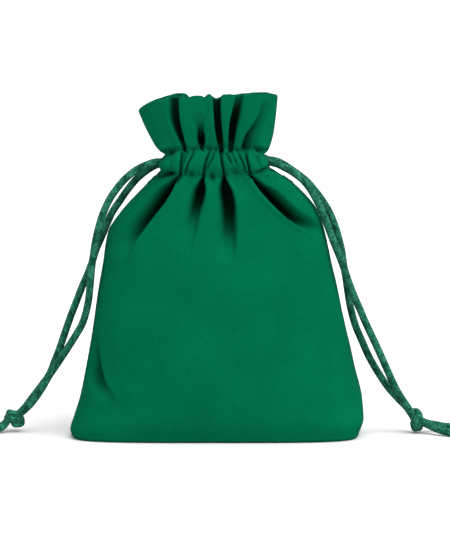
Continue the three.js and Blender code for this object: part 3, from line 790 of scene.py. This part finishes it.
def hem_rows(top, side, folds, seed):
    """The top hem, rolled over the edge and turned down inside to the casing."""
    inner = cloth_row(HEIGHT, ON_WALL, side, folds, seed, HEM_THICK)[0]
    rows = []
    for angle in np.linspace(0, math.pi, HEM_ROLL_STEPS + 1)[1:]:
        share = (1 - math.cos(angle)) / 2
        row = top * (1 - share) + inner * share
        row[:, 2] = top[:, 2] * (1 - share) + inner[:, 2] * share + HEM_THICK / 2 * math.sin(angle)
        rows.append(row)
    z = HEIGHT - WALL_STEP
    while z > STITCH_LOW:
        row = cloth_row(max(z, STITCH_HIGH), ON_WALL, side, folds, seed, HEM_THICK)[0]
        tunnel = float(smoothstep((STITCH_HIGH + 2.5 - z) / 4.5))
        ends = np.clip(np.abs(row[:, 0]) / np.abs(row[[0, -1], 0]).mean(), 0, 1)
        lens = FACING_EDGE_Y + (FACING_Y - FACING_EDGE_Y) * np.sqrt(1 - ends ** 2)
        row[:, 1] = row[:, 1] * (1 - tunnel) + side * lens * tunnel
        row[:, 0] *= 1 - 0.5 * tunnel
        row[:, 2] = np.minimum(row[:, 2], z) if z < STITCH_HIGH else row[:, 2]
        rows.append(row)
        z -= WALL_STEP * 2
    return rows


def apply_modifiers(piece):
    bpy.context.view_layer.update()
    graph = bpy.context.evaluated_depsgraph_get()
    made = bpy.data.meshes.new_from_object(piece.evaluated_get(graph))
    old = piece.data
    piece.modifiers.clear()
    piece.data = made
    bpy.data.meshes.remove(old)
    made.name = piece.name


def make_panel(name, side, folds, seed):
    """One panel with its turned-in hem. Also returns the rows of its outer face."""
    layers = [cloth_row(z, base, side, folds, seed) for z, base in panel_rows()]
    wall = [row for row, _, _ in layers]
    last_s = layers[-1][1]
    for row in hem_rows(wall[-1], side, folds, seed):
        # painted shade over the whole turned-down hem on the inside
        layers.append((row, last_s, np.full_like(last_s, HEM_SHADE)))
    rows, spans, painted_shades_and_tones = zip(*layers)
    up = distances(np.array([row[COLUMNS // 2] for row in rows]))
    flat = [np.stack([s, np.full_like(s, height)], axis=1) for s, height in zip(spans, up)]
    faces = grid_faces(len(rows), COLUMNS + 1)
    if side > 0:
        faces = [tuple(reversed(f)) for f in faces]
    piece = mesh_object(name, np.concatenate(rows), faces, np.concatenate(flat) / 10, np.concatenate(painted_shades_and_tones))
    skin = piece.modifiers.new("thickness", "SOLIDIFY")
    skin.thickness = CLOTH * MM
    skin.offset = -1
    apply_modifiers(piece)
    for vertex in piece.data.vertices:  # the cloth folds over itself at the ends of the bottom seam
        vertex.co.z = max(vertex.co.z, 0)
    return piece, wall


class Threads:
    """Gathers many short pieces of thread, or thin plies, into one mesh."""

    def __init__(self):
        self.points, self.faces = [], []

    def add(self, points, faces):
        start = len(self.points)
        self.points.extend(points)
        self.faces.extend(tuple(start + k for k in f) for f in faces)

    def thread(self, path, radius, sides=6):
        size = np.full((len(path), 1), radius)
        size[0] = size[-1] = radius * 0.5
        self.add(*tube(np.asarray(path, float), angles_round(sides), size))

    def piece(self, name):
        return mesh_object(name, self.points, self.faces)


THREAD_R = 0.17
STITCH_LONG = 2.0
STITCH_GAP = 0.55
STITCH_POINTS = 9
STITCH_DIP = 0.45  # how far a stitch's ends go into the cloth
CASING_ZONE = (80, 103)  # heights between which both rows of stitches lie


def stitch_row(name, wall, height, side):
    """A row of running stitches along the bunched cloth. height(x) is the row's height at x."""
    low, high = CASING_ZONE
    grid = np.stack([row for row in wall if low < row[:, 2].mean() < high])
    line = []
    for c in range(grid.shape[1]):
        column = grid[:, c]
        want = float(height(column[:, 0].mean() * -side))
        line.append([np.interp(want, column[:, 2], column[:, k]) for k in range(3)])
    line = np.array(line)
    along = distances(line)
    slope = np.gradient(line, axis=0)
    out = np.stack([slope[:, 1], -slope[:, 0], np.zeros(len(line))], axis=1)
    out /= np.linalg.norm(out, axis=1)[:, None]
    out *= np.where(out[:, 1] * side < 0, -1, 1)[:, None]
    threads = Threads()
    at = STITCH_GAP * 2
    while at + STITCH_LONG < along[-1] - STITCH_GAP:
        want = np.linspace(at, at + STITCH_LONG, STITCH_POINTS)
        lift = THREAD_R * 0.3 - STITCH_DIP * np.abs(np.linspace(-1, 1, STITCH_POINTS)) ** 4
        path = points_at(want, along, line) + points_at(want, along, out) * lift[:, None]
        threads.thread(path, THREAD_R)
        at += STITCH_LONG + STITCH_GAP
    return threads.piece(name)


ALLOWANCE = 4.6
PLY = 0.5
PLY_STEP = 0.9  # distance between two rows of a ply's mesh
OVERLOCK_STEP = 1.3  # distance between two loops of the overlocked edge
OVERLOCK_IN = 1.8  # how far the loops reach in from the edge


def seam_piece(name, line, inward, spans):
    """The two plies of a seam's allowance, with an overlocked edge. line(t) is a point of the seam."""
    threads = Threads()
    inward, aside = np.array(inward, float), np.array([0, 1.0, 0])
    for start, end in spans:
        count = max(int((end - start) / PLY_STEP), 4)
        for ply in (-1, 1):
            points = []
            for t in np.linspace(start, end, count):
                foot = np.array(line(t), float) + aside * (ply * PLY * 0.51)
                tip = foot + inward * ALLOWANCE + aside * (0.12 * math.sin(t * 1.7 + ply))
                for place, thick in ((foot, PLY), (tip, PLY * 0.8)):
                    points += [place - aside * (thick / 2), place + aside * (thick / 2)]
            faces = []
            for k in range(count - 1):
                a, b = 4 * k, 4 * k + 4
                faces += [(a, a + 1, b + 1, b), (a + 1, a + 3, b + 3, b + 1), (a + 3, a + 2, b + 2, b + 3),
                          (a + 2, a, b, b + 2)]
            faces += [(1, 0, 2, 3), tuple(4 * count - 4 + k for k in (0, 1, 3, 2))]
            threads.add(points, faces)
        for t in np.arange(start + 0.6, end - 0.6, OVERLOCK_STEP):
            foot, ahead = np.array(line(t), float), np.array(line(t + 0.7), float)
            edge, near = inward * (ALLOWANCE + 0.1), inward * (ALLOWANCE - OVERLOCK_IN)
            rise = aside * (PLY + 0.25)
            threads.thread([foot + near - rise, foot + edge - rise, foot + edge * 1.03, foot + edge + rise,
                            ahead + near + rise], THREAD_R * 0.8, 5)
    return threads.piece(name)


TACK_STITCHES, TACK_STEP, TACK_HALF, TACK_THREAD_R = 7, 0.34, 1.9, 0.2


def bartack(name, side):
    """A short close row of stitches across the seam, at the foot of the slit."""
    threads = Threads()
    for k in range(TACK_STITCHES):
        z = SLIT_LOW - 0.4 - TACK_STEP * k
        x = float(SIDE_EDGE[side](z))
        path = []
        for t in np.linspace(-1, 1, STITCH_POINTS):
            path.append((side * (x + 0.1 - 0.5 * t ** 4), t * TACK_HALF, z + 0.1 * math.sin(3 * t + k)))
        threads.thread(path, TACK_THREAD_R)
    return threads.piece(name)


front, front_wall = make_panel("front_cloth", -1, FRONT_FOLDS, SEED)
back, back_wall = make_panel("back_cloth", 1, back_folds(), SEED + 4)
for cloth, depth in ((front, "front"), (back, "back")):
    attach(cloth, "sack")
    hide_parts(f"{depth}_panel", f"{depth}_hem_facing")

PAST_RUFFLE = 30  # further out than the ruffle's ends
BASE_SEAM_HALF = 44
STITCH_PIECES, SEAM_PIECES = [], []
for depth, wall, way in (("front", front_wall, -1), ("back", back_wall, 1)):
    for level, height in (("lower", LOW_ROW), ("upper", HIGH_ROW)):
        row = stitch_row(f"{depth}_casing_{level}_thread", wall, height, way)
        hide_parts(f"{depth}_casing_{level}_stitches")
        STITCH_PIECES.append(row)
for side_name, way in SIDES.items():
    def seam_line(z, way=way):
        return (way * (float(SIDE_EDGE[way](z)) - SEAM_GROOVE), 0, z)

    ruffle_end = TOP_EDGE["front"](way * PAST_RUFFLE)
    seam = seam_piece(f"{side_name}_seam_allowance", seam_line, (-way, 0, 0),
                      [(3.5, SLIT_LOW - 0.5), (SLIT_HIGH + 0.5, ruffle_end - 0.6)])
    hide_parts(f"{side_name}_side_seam")
    tack = bartack(f"{side_name}_bartack_thread", way)
    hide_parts(f"{side_name}_slit_bartack")
    SEAM_PIECES.append(seam)
    STITCH_PIECES.append(tack)
bottom = seam_piece("bottom_seam_allowance", lambda t: (t, 0, CLOTH), (0, 0, 1),
                    [(-BASE_SEAM_HALF, BASE_SEAM_HALF)])
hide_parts("bottom_seam")
SEAM_PIECES.append(bottom)
for piece in STITCH_PIECES:
    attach(piece, "sack")
for piece in SEAM_PIECES:
    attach(piece, "sack")


# ---- materials ----
class Look:
    """A material made of nodes that lead to one shader."""

    def __init__(self, name):
        self.material = bpy.data.materials.new(name)
        self.material.use_nodes = True
        self.nodes = self.material.node_tree.nodes
        self.links = self.material.node_tree.links
        self.shader = self.nodes["Principled BSDF"]

    def fill(self, node, values):
        """Gives the node's inputs their values, which are constants or outputs of other nodes."""
        for name, value in values.items():
            if isinstance(value, bpy.types.NodeSocket):
                self.links.new(value, node.inputs[name])
            else:
                node.inputs[name].default_value = value
        return node

    def add(self, kind, **values):
        return self.fill(self.nodes.new("ShaderNode" + kind), values)

    def surface(self, **values):
        self.fill(self.shader, {name.replace("_", " "): value for name, value in values.items()})

    def place(self):
        return self.add("TexCoord").outputs["Object"]

    def tone(self):
        node = self.add("Attribute")
        node.attribute_name = "tone"
        return node.outputs["Fac"]

    def noise(self, vector, scale, detail, rough):
        node = self.add("TexNoise", Vector=vector, Scale=scale, Detail=detail, Roughness=rough)
        return node.outputs["Fac"]

    def ramp(self, value, stops):
        node = self.add("ValToRGB", Fac=value)
        while len(node.color_ramp.elements) < len(stops):
            node.color_ramp.elements.new(0.5)
        for element, (place, colour) in zip(node.color_ramp.elements, stops):
            element.position = place
            element.color = (*colour, 1)
        return node.outputs["Color"]

    def mixed(self, *parts):
        """The sum of values, each times its share."""
        total = 0
        for value, share in parts:
            node = self.add("Math")
            node.operation = "MULTIPLY_ADD"
            total = self.fill(node, {0: value, 1: share, 2: total}).outputs[0]
        return total

    def darkened(self, colour, share, shade):
        node = self.add("MixRGB", Fac=share, Color1=colour, Color2=(shade, shade, shade, 1))
        node.blend_type = "MULTIPLY"
        return node.outputs["Color"]

    def bump(self, height, strength, distance):
        node = self.add("Bump", Height=height, Strength=strength, Distance=distance)
        self.surface(Normal=node.outputs["Normal"])


def cloth_material():
    """Napped cloth, its colour darkened by painted shade deep in the folds and on the hem's inner face."""
    look = Look("napped_cloth")
    place = look.place()
    flatter = look.add("Mapping", Vector=place, Scale=(1, 1, 1.8)).outputs["Vector"]
    grain = look.noise(flatter, 1900, 4, 0.7)
    patches = look.noise(place, 60, 3, 0.55)
    colour = look.ramp(look.mixed((grain, 0.65), (patches, 0.35)),
                       [(0.3, (0, 0.064, 0.0285)), (0.7, (0.0001, 0.114, 0.0505))])
    # painted shade: the per-point value multiplies the cloth colour towards dark
    look.surface(Base_Color=look.darkened(colour, look.tone(), 0.14), Roughness=0.9, Specular_IOR_Level=0.01,
                 Sheen_Weight=0.02, Sheen_Roughness=0.35, Sheen_Tint=(0.12, 0.75, 0.5, 1))
    look.bump(grain, 0.5, 0.00012)
    return look.material


def cord_material():
    look = Look("braided_cord")
    place = look.place()
    fibres = look.noise(place, 1500, 4, 0.7)
    heather = look.noise(place, 420, 2, 0.6)
    # yarn tone with painted shade in the braid's grooves, mixed with fibre and heather noise
    colour = look.ramp(look.mixed((look.tone(), 0.45), (fibres, 0.25), (heather, 0.35)),
                       [(0.34, (0.0003, 0.007, 0.004)), (0.52, (0.002, 0.056, 0.031)),
                        (0.72, (0.03, 0.20, 0.125))])
    look.surface(Base_Color=colour, Roughness=0.7, Specular_IOR_Level=0.06, Sheen_Weight=0.04,
                 Sheen_Tint=(0.4, 0.85, 0.65, 1))
    look.bump(fibres, 0.4, 0.0001)
    return look.material


def thread_material():
    look = Look("sewing_thread")
    twist = look.noise(look.place(), 3000, 2, 0.5)
    look.surface(Base_Color=look.ramp(twist, [(0.3, (0.0004, 0.05, 0.022)), (0.7, (0.001, 0.10, 0.048))]),
                 Roughness=0.7, Specular_IOR_Level=0.08)
    look.bump(twist, 0.3, 0.00005)
    return look.material


def dress(piece, material):
    piece.data.materials.clear()
    piece.data.materials.append(material)


for pieces, material in (
    ((front, back, *SEAM_PIECES), cloth_material()), (CORD_PIECES, cord_material()),
    (STITCH_PIECES, thread_material()),
):
    for piece in pieces:
        dress(piece, material)


# ---- floor and light ----
FLOOR_HALF = 9000


def make_stage():
    corners = [(x * FLOOR_HALF, y * FLOOR_HALF, 0) for x, y in ((-1, -1), (1, -1), (1, 1), (-1, 1))]
    floor = mesh_object("floor", corners, [(0, 1, 2, 3)])
    look = Look("pale_floor")
    look.surface(Base_Color=(0.64, 0.64, 0.64, 1), Roughness=0.9, Specular_IOR_Level=0.1)
    dress(floor, look.material)


def sun(name, azimuth, rise, spread, strength):
    """Soft light from far away. Azimuth 0 is the camera's side, and it grows to the right."""
    data = bpy.data.lights.new(name, "SUN")
    data.angle = math.radians(spread)
    data.energy = strength
    lamp = bpy.data.objects.new(name, data)
    COLLECTION.objects.link(lamp)
    turn, tilt = math.radians(azimuth), math.radians(rise)
    way = Vector((math.sin(turn) * math.cos(tilt), -math.cos(turn) * math.cos(tilt), math.sin(tilt)))
    lamp.rotation_euler = way.to_track_quat("Z", "Y").to_euler()


def make_light():
    world = bpy.data.worlds.new("studio")
    bpy.context.scene.world = world
    world.use_nodes = True
    sky = world.node_tree.nodes["Background"]
    sky.inputs["Color"].default_value = (1, 1, 1, 1)
    sky.inputs["Strength"].default_value = 0.35
    sun("key", 50, 46, 60, 4.2)
    sun("back", 185, 68, 60, 1.6)
    sun("fill", -44, 46, 75, 1.45)
    bpy.context.scene.view_settings.view_transform = "Standard"


make_stage()
make_light()
